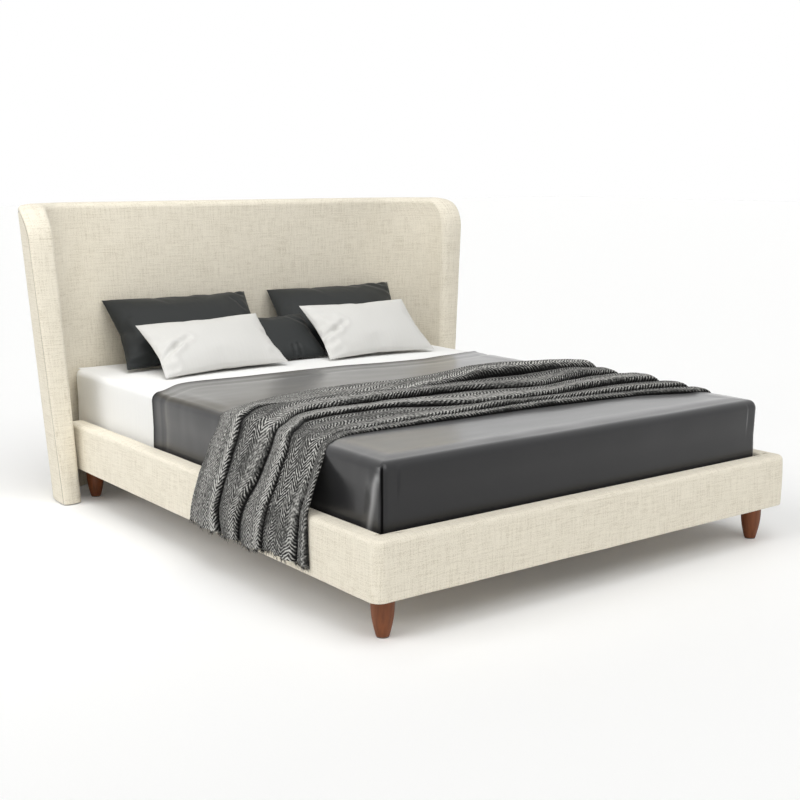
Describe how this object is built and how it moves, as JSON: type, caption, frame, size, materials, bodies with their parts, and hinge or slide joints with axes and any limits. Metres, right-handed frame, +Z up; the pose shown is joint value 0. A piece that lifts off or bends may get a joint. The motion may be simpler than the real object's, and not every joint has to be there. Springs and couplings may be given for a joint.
{
  "type": "upholstered wingback bed",
  "caption": "Upholstered bed with a tall headboard that curves forward into wings, padded rails, a bowed slat base, tapered wooden legs, a mattress, sheets, pillows and a throw.",
  "frame": {"origin": "on the floor, below the middle of the bed's width and length", "axes": "+X across the bed, to the right of someone who stands at the foot and looks at the headboard; +Y from the foot to the headboard; +Z up"},
  "size_m": [1.988, 2.2, 1.092],
  "materials": {
    "linen": "woven, with slubs both ways",
    "lining": "plain non-woven dust cover",
    "walnut": "stained, satin varnish",
    "pine": "planed, unfinished",
    "birch": "bent laminated wood, smooth",
    "steel": "dark grey powder coat",
    "zinc": "zinc plated",
    "black_plastic": "matt, moulded",
    "felt": "pressed felt",
    "white_cotton": "smooth cotton",
    "grey_cotton": "smooth sateen cotton",
    "grey_wool": "brushed herringbone wool"
  },
  "bodies": {
    "bed": {"leg_foot_left": "walnut", "leg_foot_right": "walnut", "leg_head_left": "walnut", "leg_head_right": "walnut", "leg_bolts": "zinc", "felt_pads": "felt", "corner_blocks": "pine", "foot_rail_board": "pine", "foot_rail_cover": "linen", "side_rail_board_left": "pine", "side_rail_board_right": "pine", "side_rail_cover_left": "linen", "side_rail_cover_right": "linen", "head_crossbar": "pine", "slat_ledge_left": "pine", "slat_ledge_right": "pine", "corner_brackets": "zinc", "centre_beam": "steel", "beam_hangers": "zinc", "centre_leg_foot": "steel", "centre_leg_middle": "steel", "centre_leg_head": "steel", "slats_left": "birch", "slats_right": "birch", "slat_caps_left": "black_plastic", "slat_caps_right": "black_plastic", "headboard_pad": "linen", "wing_border_left": "linen", "wing_border_right": "linen", "headboard_back": "lining", "headboard_posts": "pine", "headboard_rails": "pine", "wing_ribs_left": "birch", "wing_ribs_right": "birch", "wing_stile_left": "pine", "wing_stile_right": "pine", "headboard_bracket_left": "steel", "headboard_bracket_right": "steel", "headboard_glides": "black_plastic", "frame_bolts": "zinc", "mattress": "white_cotton", "fitted_sheet": "white_cotton", "flat_sheet": "grey_cotton", "throw": "grey_wool", "pillow_left": "grey_cotton", "pillow_right": "grey_cotton", "cushion_middle": "grey_cotton", "cushion_left": "white_cotton", "cushion_right": "white_cotton"},
    "levelling_foot_foot": {"levelling_foot_foot": "black_plastic"},
    "levelling_foot_middle": {"levelling_foot_middle": "black_plastic"},
    "levelling_foot_head": {"levelling_foot_head": "black_plastic"}
  },
  "joints": [
    {"name": "levelling_foot_foot_slide", "type": "slide", "parent": "bed", "child": "levelling_foot_foot", "axis": [0, 0, 1], "range_m": [0, 0.012]},
    {"name": "levelling_foot_middle_slide", "type": "slide", "parent": "bed", "child": "levelling_foot_middle", "axis": [0, 0, 1], "range_m": [0, 0.012]},
    {"name": "levelling_foot_head_slide", "type": "slide", "parent": "bed", "child": "levelling_foot_head", "axis": [0, 0, 1], "range_m": [0, 0.012]}
  ]
}
